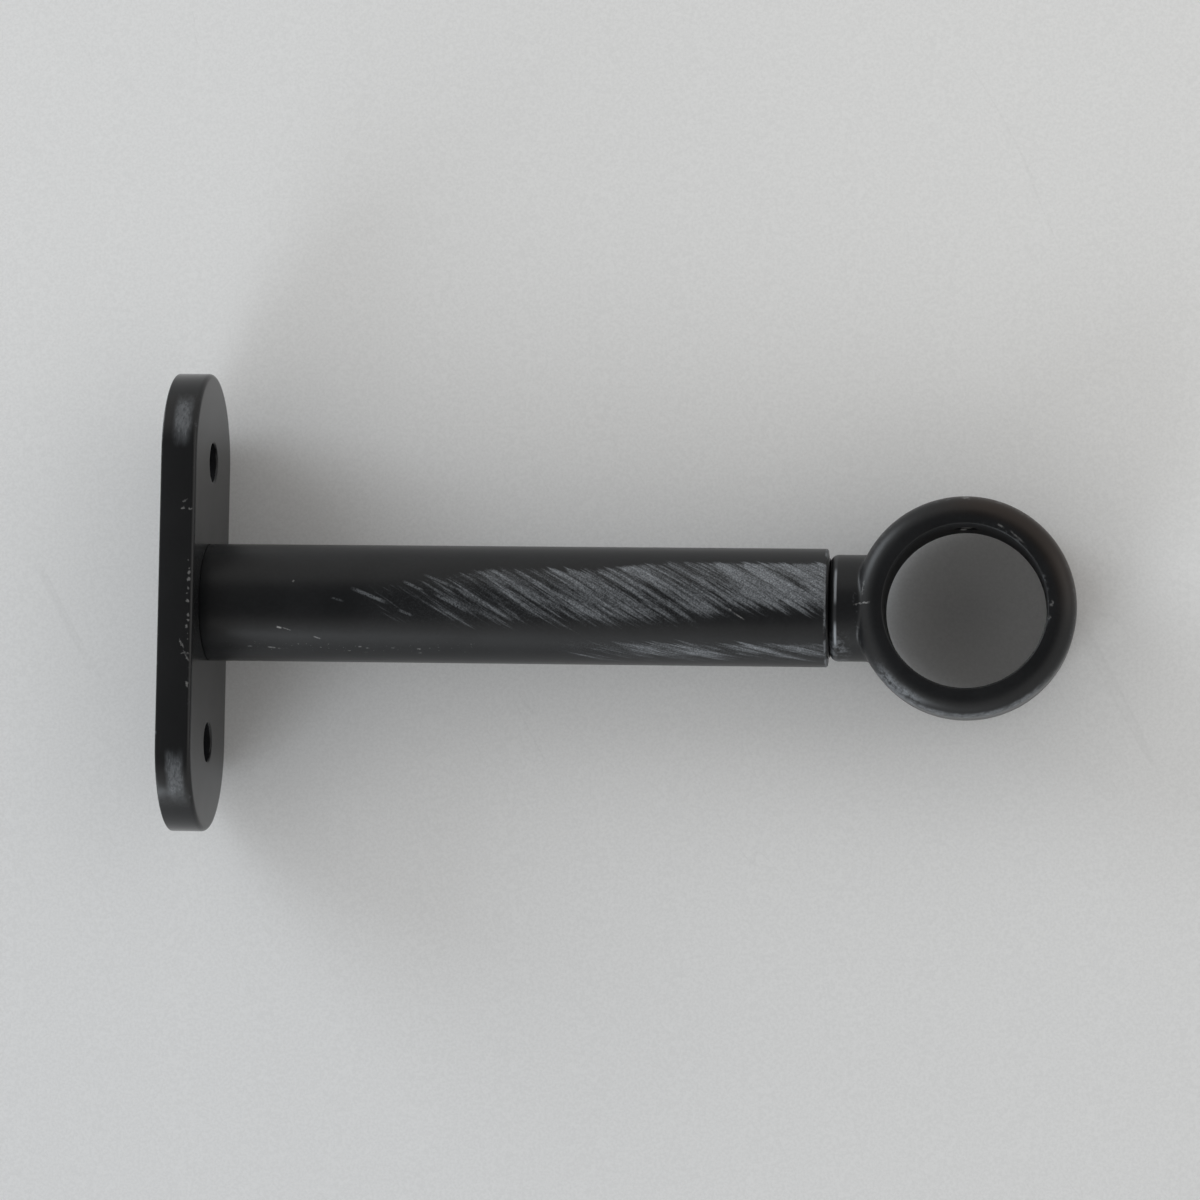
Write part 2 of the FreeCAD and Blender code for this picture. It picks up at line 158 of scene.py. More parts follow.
def add_piece(name, node, finish, surfaces, sharp_angle=38):
    """One mesh from grids of points: neighbours in a grid make four-sided faces, grids are joined
    where their edges meet, and faces are turned outwards. A grid may come with a mask of faces."""
    points, faces, start = [], [], 0
    for surface in surfaces:
        grid, keep = surface if isinstance(surface, tuple) else (surface, None)
        index = start + np.arange(grid.shape[0] * grid.shape[1]).reshape(grid.shape[:2])
        quads = np.stack([index[:-1, :-1], index[1:, :-1], index[1:, 1:], index[:-1, 1:]], axis=-1)
        faces.append((quads if keep is None else quads[keep]).reshape(-1, 4))
        points.append(grid.reshape(-1, 3))
        start += index.size
    points, faces = np.concatenate(points) * MM, np.concatenate(faces)
    mesh = bpy.data.meshes.new(name)
    mesh.vertices.add(len(points))
    mesh.vertices.foreach_set("co", points.ravel())
    mesh.loops.add(faces.size)
    mesh.loops.foreach_set("vertex_index", faces.ravel())
    mesh.polygons.add(len(faces))
    mesh.polygons.foreach_set("loop_start", np.arange(0, faces.size, 4))
    mesh.update(calc_edges=True)
    shape = bmesh.new()
    shape.from_mesh(mesh)
    bmesh.ops.remove_doubles(shape, verts=shape.verts, dist=MERGE_DISTANCE * MM)
    loose = [v for v in shape.verts if not v.link_faces]
    bmesh.ops.delete(shape, geom=loose, context="VERTS")
    bmesh.ops.recalc_face_normals(shape, faces=shape.faces)
    shape.to_mesh(mesh)
    shape.free()
    mesh.shade_smooth()
    mesh.set_sharp_from_angle(angle=math.radians(sharp_angle))
    mesh.materials.append(finish)
    piece = in_scene(name, mesh)
    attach(piece, "root")
    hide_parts(node)


# Nodes
class Value:
    """An output socket of a node. Arithmetic on it adds Math nodes."""

    def __init__(self, nodes, socket):
        self.nodes, self.socket = nodes, socket

    def maths(self, operation, *values):
        return self.nodes.add("ShaderNodeMath", {"operation": operation}, dict(enumerate(values)))

    def __add__(self, other):
        return self.maths("ADD", self, other)

    __radd__ = __add__

    def __sub__(self, other):
        return self.maths("SUBTRACT", self, other)

    def __rsub__(self, other):
        return self.maths("SUBTRACT", other, self)

    def __mul__(self, other):
        return self.maths("MULTIPLY", self, other)

    __rmul__ = __mul__

    def __truediv__(self, other):
        return self.maths("DIVIDE", self, other)

    def __rtruediv__(self, other):
        return self.maths("DIVIDE", other, self)

    def __pow__(self, other):
        return self.maths("POWER", self, other)

    def __neg__(self):
        return self.maths("MULTIPLY", self, -1.0)

    def __abs__(self):
        return self.maths("ABSOLUTE", self)

    def other(self, out):
        """Another output of the same node."""
        return Value(self.nodes, self.socket.node.outputs[out])

    def least(self, other):
        return self.maths("MINIMUM", self, other)

    def most(self, other):
        return self.maths("MAXIMUM", self, other)

    def ramp(self, low, high):
        """0 below low, 1 above high, and a soft step between; low may be the larger."""
        return self.nodes.add("ShaderNodeMapRange", {"interpolation_type": "SMOOTHSTEP"},
                              {"Value": self, "From Min": low, "From Max": high})

    def within(self, low, high, soft):
        """1 between low and high, with soft edges."""
        return self.ramp(low - soft, low + soft) * self.ramp(high + soft, high - soft)


class Nodes:
    """The node tree of a material or the world."""

    def __init__(self, owner):
        owner.use_nodes = True
        self.owner, self.tree = owner, owner.node_tree
        self.tree.nodes.clear()

    def add(self, kind, settings, sockets, out=0):
        """A node of a type: its settings first, then the value or link of each socket."""
        made = self.tree.nodes.new(kind)
        for name, setting in settings.items():
            setattr(made, name, setting)
        for name, given in sockets.items():
            if isinstance(given, Value):
                self.tree.links.new(given.socket, made.inputs[name])
            else:
                made.inputs[name].default_value = given
        return Value(self, made.outputs[out]) if made.outputs else made

    def place(self):
        """Object coordinates in millimetres, as a vector and as x, y and z."""
        at = self.add("ShaderNodeTexCoord", {}, {}, "Object")
        at = self.add("ShaderNodeVectorMath", {"operation": "SCALE"}, {0: at, "Scale": 1 / MM})
        return at, *self.split(at)

    def split(self, vector):
        x = self.add("ShaderNodeSeparateXYZ", {}, {0: vector}, "X")
        return x, x.other("Y"), x.other("Z")

    def vector(self, x, y, z):
        return self.add("ShaderNodeCombineXYZ", {}, {"X": x, "Y": y, "Z": z})

    def noise(self, at, grain, detail=3.0, roughness=0.55):
        """Soft noise from 0 to 1 whose patches are about grain millimetres wide."""
        return self.add("ShaderNodeTexNoise", {}, {
            "Vector": at, "Scale": 1 / grain, "Detail": detail, "Roughness": roughness})

    def angle(self, rise, run):
        """Angle in radians whose tangent is rise over run, from minus to plus half a turn."""
        return self.add("ShaderNodeMath", {"operation": "ARCTAN2"}, {0: rise, 1: run})

    def mark(self, across, up, middle, turn, half_length, half_width):
        """1 along a short straight scratch and 0 off it, over two coordinates in millimetres. turn
        is its angle from the first coordinate's direction, in degrees."""
        turn = math.radians(turn)
        right, rise = across - middle[0], up - middle[1]
        along = abs(right * math.cos(turn) + rise * math.sin(turn))
        aside = abs(rise * math.cos(turn) - right * math.sin(turn))
        return along.ramp(half_length, half_length * 0.4) * aside.ramp(half_width, half_width * 0.3)

    def marks(self, across, up, rows):
        """Several scratches, each as bright as its row says."""
        made = [self.mark(across, up, *row[:-1]) * row[-1] for row in rows]
        every = made[0]
        for one in made[1:]:
            every = every.most(one)
        return every

    def mix(self, share, first, second):
        """The first colour at a share of 0 and the second at 1."""
        return self.add("ShaderNodeMix", {"data_type": "RGBA"}, {0: share, 6: first, 7: second}, 2)

    def bump(self, height, depth, normal=None):
        """Relief of a height from 0 to 1, depth millimetres deep."""
        sockets = {"Height": height, "Strength": 1.0, "Distance": depth * MM}
        if normal is not None:
            sockets["Normal"] = normal
        return self.add("ShaderNodeBump", {}, sockets)

    def surface(self, sockets):
        """Ends the material in one Principled shader, and gives the material."""
        shader = self.add("ShaderNodeBsdfPrincipled", {}, sockets)
        self.add("ShaderNodeOutputMaterial", {}, {"Surface": shader})
        return self.owner


def rgb(red, green, blue):
    return red, green, blue, 1.0


BLACK_PAINT = rgb(0.0055, 0.0060, 0.0070)
GREYER_PAINT = rgb(0.0095, 0.0102, 0.0115)
PLATE_PAINT = rgb(0.0125, 0.0128, 0.0135)
SILVER_PAINT = rgb(0.33, 0.35, 0.375)
BARE_METAL = rgb(0.42, 0.42, 0.42)
BROWNED = rgb(0.022, 0.012, 0.007)
PAINT_IOR = 1.38
PAINT_RELIEF = 0.012
SILVER_RELIEF = 0.015
TURNING_RELIEF = 0.004
TABLE_RELIEF = 0.01
TABLE_LOW_LEFT = rgb(0.82, 0.826, 0.836)
TABLE_HIGH_RIGHT = rgb(0.95, 0.948, 0.942)
SCRATCH = rgb(0.3, 0.3, 0.3)


def paint_ground(nodes, least_roughness):
    """What all the black paint shares: place, colour, roughness and relief."""
    at, x, y, z = nodes.place()
    cloud = nodes.noise(at, 9.0, 4.0, 0.6)
    speckle = nodes.noise(at, 0.55, 3.0, 0.6)
    colour = nodes.mix((cloud * 0.6 + speckle * 0.4).ramp(0.36, 0.68), BLACK_PAINT, GREYER_PAINT)
    roughness = least_roughness + cloud * 0.10 + speckle * 0.05
    relief = speckle * 0.5 + nodes.noise(at, 2.2, 2.0, 0.5) * 0.5
    return at, x, y, z, colour, roughness, relief


def painted(nodes, colour, roughness, relief, silver, bare, raised=None):
    """Black paint with silver brushed or rubbed on to it, in places also a painted highlight, and bare
    metal where it is chipped.
    raised, where it is given, is a height: silver stands above the paint and chips lie below it."""
    colour = nodes.mix(silver, colour, SILVER_PAINT)
    colour = nodes.mix(bare, colour, BARE_METAL)
    normal = nodes.bump(relief, PAINT_RELIEF)
    if raised is not None:
        normal = nodes.bump(raised, SILVER_RELIEF, normal)
    return nodes.surface({
        "Base Color": colour, "Metallic": (silver * 0.35 + bare * 0.8).least(1.0),
        "Roughness": roughness + silver * 0.22, "IOR": PAINT_IOR, "Normal": normal})


def brush_strokes(nodes, x, around, slope, seed, bands):
    """Silver dry-brushed over an unrolled surface in slanting strokes, and how thickly it lies.
    Each strand of the brush keeps to one line. It starts sharply near a band's top and thins out
    into hairs near its bottom. bands gives a top, a bottom and a thickness from 0 to 1 for each."""
    strand = around + x * slope

    def edge_noise(width, layer, depth):
        """How far a band's edge wanders: at most half of depth, changing over a width."""
        at = nodes.vector(strand / width, seed + layer, 0.0)
        return (nodes.noise(at, 1.0, 2.0, 0.6) - 0.5) * depth

    def streaks(length, width, layer, detail, roughness=0.55):
        """Noise drawn out along the strands into streaks of a length and width."""
        at = nodes.vector(x / length, strand / width, seed + layer)
        return nodes.noise(at, 1.0, detail, roughness)

    ragged, frayed = edge_noise(0.9, 0.0, 3.6), edge_noise(1.3, 7.0, 6.0)
    wanted = 0.0
    for top, bottom, thickness in bands:
        body = (top + ragged - around).ramp(0.0, 1.0) * (around - bottom - frayed).ramp(-0.6, 3.4)
        wanted = wanted + body * thickness
    swipes, bundles = streaks(16.0, 3.1, 0.0, 1.0), streaks(14.0, 0.95, 3.0, 1.0)
    hairs = streaks(4.5, 0.36, 5.0, 2.0, 0.7)
    silver = (swipes * 0.24 + bundles * 0.40 + hairs * 0.36 + wanted * 0.17).ramp(0.57, 0.83)
    return silver * wanted.ramp(0.0, 0.25), wanted


# Middle (x, distance round the tube), angle, half length, half width, brightness
TUBE_STROKES = (
    ((35.1, 0.8), -21.8, 3.8, 0.42, 0.8),
    ((41.2, -2.05), -23.4, 1.6, 0.34, 0.55),
    ((29.6, 0.1), -15, 1.4, 0.24, 0.4),
    ((42.5, 2.5), -25, 2.3, 0.36, 0.75),
    ((49.0, -0.3), -27.6, 3.9, 0.40, 0.75),
    ((47.2, 3.3), -23.5, 3.8, 0.34, 0.6),
)
TUBE_NICKS = (
    ((19.6, -4.85), -12, 0.55, 0.24, 1.0),
    ((20.9, -5.15), -20, 0.9, 0.14, 0.5),
    ((25.95, -6.8), -22, 0.75, 0.18, 0.6),
    ((14.2, -8.9), 0, 0.5, 0.20, 0.5),
    ((17.9, -9.15), -10, 0.8, 0.22, 0.75),
    ((33.1, -8.75), 0, 0.36, 0.22, 0.5),
    ((34.3, -9.1), 20, 0.3, 0.22, 0.5),
    ((38.7, -9.0), 0, 0.4, 0.18, 0.35),
    ((43.1, -9.2), 0, 0.42, 0.22, 0.65),
    ((43.2, -10.3), 10, 0.4, 0.2, 0.35),
    ((22.0, 3.2), 60, 0.28, 0.22, 0.45),
    ((97.4, -2.1), -33, 1.3, 0.16, 0.6),
    ((95.9, -1.0), -33, 0.4, 0.18, 0.5),
)


def brushed_tube_finish():
    """Black paint with silver brushed over it in slanting strokes, thicker towards the ring end."""
    nodes = Nodes(bpy.data.materials.new("brushed_silver_over_black"))
    at, x, y, z, colour, roughness, relief = paint_ground(nodes, 0.25)
    # Distance round the tube from the side that faces -Y, up positive
    around = nodes.angle(z, -y) * TUBE_RADIUS
    # The main band, on the side that faces -Y
    top = 3.2 + x.ramp(38.0, 58.0) * 3.2 + x.ramp(70.0, 88.0) * 1.9
    bottom = -4.8 + x.ramp(84.0, 100.0) * 2.6
    thickness = x.ramp(28.0, 52.0) * 0.62 + x.ramp(46.0, 70.0) * 0.38 + x.ramp(88.0, 104.0) * 0.4
    silver, wanted = brush_strokes(nodes, x, around, 0.64, 0.0, ((top, bottom, thickness),))
    # Fewer strokes lower down and on the side that faces +Y
    flank, flank_wanted = brush_strokes(nodes, x, around, 0.34, 20.0, (
        (-6.6, -12.5, x.ramp(54.0, 86.0) * 0.9),
        (27.0, 12.0, x.ramp(30.0, 64.0) * 0.5),
        (-15.0, -27.0, x.ramp(44.0, 80.0) * 0.5)))
    silver, wanted = silver.most(flank), wanted.most(flank_wanted)
    # The paint's grain breaks the silver up and leaves a thin haze between the strokes
    grain = nodes.noise(at, 0.26, 2.0, 0.7)
    clumps = nodes.noise(at, 0.9, 2.0, 0.6)
    haze = wanted * grain.ramp(0.40, 0.80) * 0.13
    silver = silver * (grain.ramp(0.25, 0.75) * 0.55 + clumps * 0.4 + 0.04) + haze
    silver = silver.most(nodes.marks(x, around, TUBE_STROKES) * grain.ramp(0.30, 0.60) * 0.45)
    free_end = x.ramp(TUBE_END - 0.5, TUBE_END - 0.15) * nodes.noise(at, 1.5, 3.0).ramp(0.42, 0.62) * 0.5
    # Fine specks in a row low on the tube, near the plate
    specks = nodes.noise(nodes.vector(x / 0.7, around / 0.4, 4.0), 1.0, 2.0, 0.6).ramp(0.66, 0.72)
    specks = specks * around.within(-10.2, -7.8, 0.5) * x.within(12.0, 54.0, 5.0) * 0.4
    bare = (nodes.marks(x, around, TUBE_NICKS) * grain.ramp(0.25, 0.60) * 0.7).most(specks)
    return painted(nodes, colour, roughness, relief, silver.most(free_end), bare)


# Middle (x, z) on the long edge, angle, half length, half width, brightness
PLATE_NICKS = (
    ((3.98, 14.9), 0, 0.3, 0.28, 0.7),
    ((5.3, 14.7), 0, 0.3, 0.28, 0.6),
    ((4.3, 16.2), 30, 0.5, 0.12, 0.3),
    ((5.3, -14.7), 90, 0.6, 0.25, 0.7),
    ((4.2, -7.9), -65, 1.1, 0.12, 0.4),
    ((5.1, -10.0), -60, 1.2, 0.12, 0.45),
    ((4.6, -9.4), 20, 0.6, 0.10, 0.35),
)
CHIP_STEP = 1.12


def plate_finish():
    """Black paint, rubbed silver and a painted highlight on the edge near both ends, and chipped along
    the front edge.
    """
    nodes = Nodes(bpy.data.materials.new("satin_black_paint"))
    at, x, y, z, colour, roughness, relief = paint_ground(nodes, 0.15)
    colour = nodes.mix(0.6, colour, PLATE_PAINT)
    # Distance in from the plate's outline
    past_end = (abs(z) - PLATE_END_CENTRE).most(0.0)
    inset = PLATE_HALF_WIDTH - (y * y + past_end * past_end) ** 0.5
    # Silver smudged on the edge near both ends, in hairs that run along it, which is also a painted
    # highlight where the rounded ends catch the light
    on_edge = inset.ramp(0.5, 0.2)
    hairs = nodes.noise(nodes.vector(x / 0.40, y / 0.40, z / 4.0), 1.0, 3.0, 0.65)
    ragged = (nodes.noise(nodes.vector(x / 1.5, 0.0, z / 3.0), 1.0, 3.0, 0.6) - 0.5) * 3.0
    smudge_and_highlight = (abs(z) + ragged).within(27.0, 33.2, 2.0) * on_edge
    smudge_and_highlight = smudge_and_highlight * (x + ragged * 0.3).within(2.1, 4.6, 0.6)
    silver = smudge_and_highlight * (hairs.ramp(0.25, 0.75) * 0.26 + 0.17)
    # The rounded front and back edges, rubbed in spots
    front_round = x.within(5.35, 5.90, 0.1) * inset.within(0.05, 0.50, 0.1)
    back_round = x.ramp(0.35, 0.1) * inset.within(-0.1, 0.3, 0.1)
    rubbed = nodes.noise(at, 1.6, 4.0, 0.7).ramp(0.60, 0.74) * (front_round * 0.18 + back_round * 0.5)
    silver = silver.most(rubbed)
    # A row of small chips on the long edge, each with its own place and size in its step. Noise on
    # their coordinates and on the nicks' makes the outlines ragged.
    step = z / CHIP_STEP
    cell = nodes.add("ShaderNodeTexWhiteNoise", {"noise_dimensions": "1D"},
                     {"W": step.maths("FLOOR", step)}, "Color")
    up, aside, size = nodes.split(cell)
    bent = x + (nodes.noise(at, 0.6, 2.0) - 0.5) * 0.9
    wander = (nodes.noise(at, 0.45, 2.0) - 0.5) * 0.9
    apart = (step.maths("FRACT", step) - 0.25 - up * 0.5) * CHIP_STEP + wander
    drift = bent - 4.95 - aside * 0.45
    off_middle = (apart * apart + drift * drift) ** 0.5
    chips = (size * 0.32 + 0.04 - off_middle).ramp(0.0, 0.12) * z.within(-9.5, 6.2, 0.4)
    bare = (chips * 0.5).most(nodes.marks(bent, z + wander, PLATE_NICKS)) * (-y).ramp(13.5, 14.5)
    bare = bare * nodes.noise(at, 0.3, 2.0, 0.7).ramp(0.25, 0.60)
    return painted(nodes, colour, roughness, relief, silver, bare, silver - bare)


# Middle (x, z) on the ring's front, angle, half length, half width, brightness
RING_NICKS = (
    ((RING_CENTRE - 17.1, 0.30), 9, 1.6, 0.16, 0.5),
    ((RING_CENTRE + 5.7, 13.35), -30, 0.7, 0.22, 0.40),
    ((RING_CENTRE - 0.1, 18.2), 0, 0.9, 0.35, 0.30),
    ((RING_CENTRE + 13.9, -1.8), 70, 0.4, 0.24, 0.35),
    ((RING_CENTRE + 14.3, 0.5), 60, 0.6, 0.24, 0.30),
    ((RING_CENTRE + 8.4, 11.6), -42, 1.9, 0.20, 0.22),
    ((RING_CENTRE - 16.9, 2.9), 80, 1.6, 0.12, 0.25),
)


def head_finish():
    """Black paint, rubbed silver along the ring's rim, the bore's edge and the collar's edge, and a
    painted highlight low on the ring's left.
    """
    nodes = Nodes(bpy.data.materials.new("rubbed_black_paint"))
    at, x, y, z, colour, roughness, relief = paint_ground(nodes, 0.27)
    # Place round the ring's axis: radius in millimetres, and turn in degrees from +X over +Z
    from_centre = x - RING_CENTRE
    radius = (from_centre * from_centre + z * z) ** 0.5
    turn = nodes.angle(z, from_centre) * math.degrees(1.0)
    front, either_face = (-y).ramp(4.5, 6.0), abs(y).ramp(4.5, 6.0)
    in_bore = radius.ramp(13.75, 13.65)
    broken = nodes.noise(at, 1.1, 4.0, 0.7)
    fine = nodes.noise(at, 0.35, 2.0, 0.7)
    # Browned paint on the ring's upper right
    colour = nodes.mix(turn.within(5.0, 95.0, 25.0) * radius.ramp(14.5, 17.0) * 0.8, colour, BROWNED)
    # The rim, rubbed most along its low side, and a patch low on the left that is partly rubbed silver
    # and partly a painted highlight on the shoulder
    rim = radius.within(17.9, 18.6, 0.25) * either_face
    low_rim = turn.within(-140.0, -45.0, 14.0) * front * (broken.ramp(0.30, 0.70) * 0.6 + 0.12)
    other_rim = broken.ramp(0.56, 0.66) * 0.2
    patch = turn.within(-143.0, -116.0, 8.0) * radius.ramp(16.2, 17.8) * front
    patch = patch * broken.ramp(0.36, 0.60) * 0.6
    silver = (rim * low_rim.most(other_rim)).most(patch) * (fine * 0.8 + 0.3)
    # The bore's edge, worn in spots on the right
    bore_edge = radius.within(13.7, 14.15, 0.12) * (-y).ramp(9.2, 9.7)
    worn = turn.within(-20.0, 80.0, 14.0) * 0.14
    silver = silver.most(bore_edge * worn * broken.ramp(0.50, 0.68))
    # The collar, by the distances past its face and round it, up positive from the side that faces
    # -Y. Its rounded edge is rubbed most in two stretches, and its low side has a haze of silver.
    around = nodes.angle(z, -y) * COLLAR_RADIUS
    past_face = x - COLLAR_FACE
    collar_edge = past_face.within(0.95, 1.35, 0.12) * (
        around.within(0.5, 6.5, 0.8).most(around.within(-7.5, -3.2, 0.8)) * 0.7 + 0.06)
    collar_haze = past_face.ramp(4.2, 1.6) * around.within(-13.0, -6.0, 2.5)
    collar_haze = collar_haze * broken.ramp(0.42, 0.66) * 0.4
    silver = silver.most(collar_edge.most(collar_haze) * past_face.ramp(4.8, 4.2))
    # A small bright burr in the bore, beside the grub screw's hole
    aside, beyond = from_centre + 0.5, (y - 2.2) * 0.45
    burr = ((aside * aside + beyond * beyond) ** 0.5).ramp(0.65, 0.35) * in_bore * z.ramp(12.0, 13.0)
    wander = (nodes.noise(at, 0.5, 2.0) - 0.5) * 0.8
    nicks = nodes.marks(x + wander, z - wander, RING_NICKS) * (-y).ramp(5.5, 6.5)
    bare = (nicks * fine.ramp(0.25, 0.60)).most(burr)
    return painted(nodes, colour, roughness + in_bore * 0.4, relief, silver, bare, silver - bare)


def steel_finish(name, colour, roughness):
    """Steel with fine turning marks round the arm's axis and faint stains."""
    nodes = Nodes(bpy.data.materials.new(name))
    at, x, y, z = nodes.place()
    rings = nodes.noise(nodes.vector(x / 0.08, y / 3.0, z / 3.0), 1.0, 2.0)
    stain = nodes.noise(at, 1.8, 3.0)
    base = nodes.mix(stain.ramp(0.35, 0.75), colour, tuple(c * 0.72 for c in colour[:3]) + (1.0,))
    # Black in the groove between the tube and the collar: partly paint that ran in, partly painted shade
    # in the narrow gap
    in_groove = x.within(TUBE_END - 0.3, COLLAR_FACE + 0.1, 0.1)
    base = nodes.mix(in_groove, base, BLACK_PAINT)
    return nodes.surface({
        "Base Color": base, "Metallic": 1.0 - in_groove, "Roughness": roughness + stain * 0.2,
        "Normal": nodes.bump(rings, TURNING_RELIEF)})


# Pieces
def chain(*lines):
    """One line through lines that start where the one before ends."""
    return np.concatenate([lines[0]] + [line[1:] for line in lines[1:]])


def between(first, last, count):
    """Rows from one line of points to another, in equal steps, both included."""
    share = np.linspace(0, 1, count + 1).reshape((-1,) + (1,) * np.ndim(first))
    return first + (last - first) * share


def threaded(radius, along, around, crest, depth, start, end, pitch):
    """The same radii with a V groove cut in those that reach the crest. It is deepest in the middle
    of each pitch, runs round once per pitch, and fades out within a pitch of start and end."""
    along = along[:, None]
    phase = (along / pitch - around / (2 * math.pi)) % 1.0
    fade = np.clip((along - start) / pitch, 0, 1) * np.clip((end - along) / pitch, 0, 1)
    groove = depth * (np.clip(1.16 - 2.5 * np.abs(phase - 0.5), 0, 1) * fade)
    return radius - np.where(radius > crest - 0.01, groove, 0)


def hexagon(flat, around):
    """Radius of a hexagon's side at each angle, for half its width across the flats."""
    return flat / np.cos((around + math.pi / 6) % (math.pi / 3) - math.pi / 6)


def make_wall_plate():
    """Plate: three cells that meet at CELL_EDGE above and below the middle, each a fan of rows from
    its outline in to its hole, through the hole and out again on the back, and a rounded edge
    carried round the plate's outline."""
    low_end = -PLATE_END_CENTRE

    def sides(half):
        """The outline's parts, half wide: (across, up) points from the right side up, over the
        top, down the left side and round the bottom."""
        def straight(across, start, end, count):
            """Points up or down at one place across."""
            return between(np.array([across, start]), np.array([across, end]), count)

        def end_arc(centre, start):
            """Half circle round a centre on the middle line, from an angle on."""
            angle = start + np.linspace(0, math.pi, 57)
            return np.stack([half * np.cos(angle), centre + half * np.sin(angle)], axis=1)

        return (straight(half, -CELL_EDGE, CELL_EDGE, 18),
                straight(half, CELL_EDGE, PLATE_END_CENTRE, 9),
                end_arc(PLATE_END_CENTRE, 0),
                straight(-half, PLATE_END_CENTRE, CELL_EDGE, 9),
                straight(-half, CELL_EDGE, -CELL_EDGE, 18),
                straight(-half, -CELL_EDGE, low_end, 9),
                end_arc(low_end, math.pi),
                straight(half, low_end, -CELL_EDGE, 9))

    def cells(half):
        """Closed outlines of the top, middle and bottom cell."""
        right, right_top, top, left_top, left, left_low, bottom, right_low = sides(half)
        upper = between(np.array([-half, CELL_EDGE]), np.array([half, CELL_EDGE]), 20)
        lower = upper * (1, -1)
        return (chain(right_top, top, left_top, upper), chain(right, upper[::-1], left, lower),
                chain(left_low, bottom, right_low, lower[::-1]))

    def upright(flat_points, x):
        """(across, up) points at one distance from the wall."""
        return np.concatenate([np.full(flat_points.shape[:-1] + (1,), x), flat_points], axis=-1)

    # Lines of (distance from the wall, inset or radius), front to back
    edge = rounded([
        (PLATE_FRONT, 1.3, 0),
        (PLATE_FRONT, 0, PLATE_FRONT_ROUND),
        (0, 0, PLATE_BACK_ROUND),
        (0, 0.8, 0)], 7)
    wall_hole = rounded([
        (PLATE_FRONT, WALL_HOLE_RADIUS + 0.8, 0),
        (PLATE_FRONT, WALL_HOLE_RADIUS, HOLE_MOUTH_ROUND),
        (0, WALL_HOLE_RADIUS, HOLE_MOUTH_ROUND),
        (0, WALL_HOLE_RADIUS + 0.8, 0)])
    screw_hole = rounded([
        (PLATE_FRONT, SCREW_HOLE_RADIUS + 0.7, 0),
        (PLATE_FRONT, SCREW_HOLE_RADIUS, 0.1),
        (COUNTERSINK_DEPTH, SCREW_HOLE_RADIUS, 0.2),
        (0, COUNTERSINK_RADIUS, 0.12),
        (0, 6.7, 0)])
    surfaces = [np.stack([upright(chain(*sides(PLATE_HALF_WIDTH - inset)), x) for x, inset in edge])]
    holes = ((WALL_HOLE_UP, wall_hole), (0.0, screw_hole), (-WALL_HOLE_UP, wall_hole))
    fronts, backs = cells(PLATE_HALF_WIDTH - edge[0, 1]), cells(PLATE_HALF_WIDTH - edge[-1, 1])
    for (up, hole), front, back in zip(holes, fronts, backs):
        centre = np.array([0, up])
        out = (front - centre) / np.linalg.norm(front - centre, axis=1)[:, None]
        rows = np.stack([upright(centre + radius * out, x) for x, radius in hole])
        on_front = between(upright(front, PLATE_FRONT), rows[0], 10)
        on_back = between(rows[-1], upright(back, 0.0), 10)
        surfaces.append(np.concatenate([on_front, rows[1:-1], on_back]))
    return surfaces


def make_arm_tube():
    """Tube: a closed line (outside, free end, bore, wall end) turned round the arm's axis."""
    wall_end, wall_middle = tube_low[0], 9.2
    line = rounded([
        (wall_end, wall_middle, 0),
        (wall_end, TUBE_RADIUS, 0.12),
        (TUBE_END, TUBE_RADIUS, 0.35),
        (TUBE_END, TUBE_INNER, 0.4),
        (wall_end, TUBE_INNER, 0.4),
        (wall_end, wall_middle, 0)])
    line = filled(line, 1.5)
    return [turned(line[:, 0], line[:, 1], full_circle(192))]


# The ring's outside is a grid of 1.25 degree columns over its flat middle and both shoulders. The
# rectangle left open for the grub screw's hole reaches OPEN_HALF each side of the middle line.
SHOULDER_START = RING_HALF_WIDTH - RING_SHOULDER
RING_COLUMNS = 288
COLUMN = 360 / RING_COLUMNS
OPEN_HALF = 3.6


def ring_outside(turn, run):
    """Point of the ring's outside. turn is the angle from the collar over the top; run is the
    distance across the outside from its middle line, flat first and then round a shoulder."""
    bend = np.clip(np.abs(run) - SHOULDER_START, 0, None) / RING_SHOULDER
    y = np.sign(run) * (np.minimum(np.abs(run), SHOULDER_START) + RING_SHOULDER * np.sin(bend))
    radius = RING_RADIUS - RING_SHOULDER * (1 - np.cos(bend))
    return np.stack(np.broadcast_arrays(
        RING_CENTRE - radius * np.cos(turn), y, radius * np.sin(turn)), axis=-1)


def loop_round(turns, runs):
    """Closed line round a rectangle of turns and runs, through each of their values."""
    first, last = np.full_like(runs, turns[0]), np.full_like(runs, turns[-1])
    low, high = np.full_like(turns, runs[0]), np.full_like(turns, runs[-1])
    return chain(np.stack([turns, low], axis=1), np.stack([last, runs], axis=1),
                 np.stack([turns, high], axis=1)[::-1], np.stack([first, runs], axis=1)[::-1])


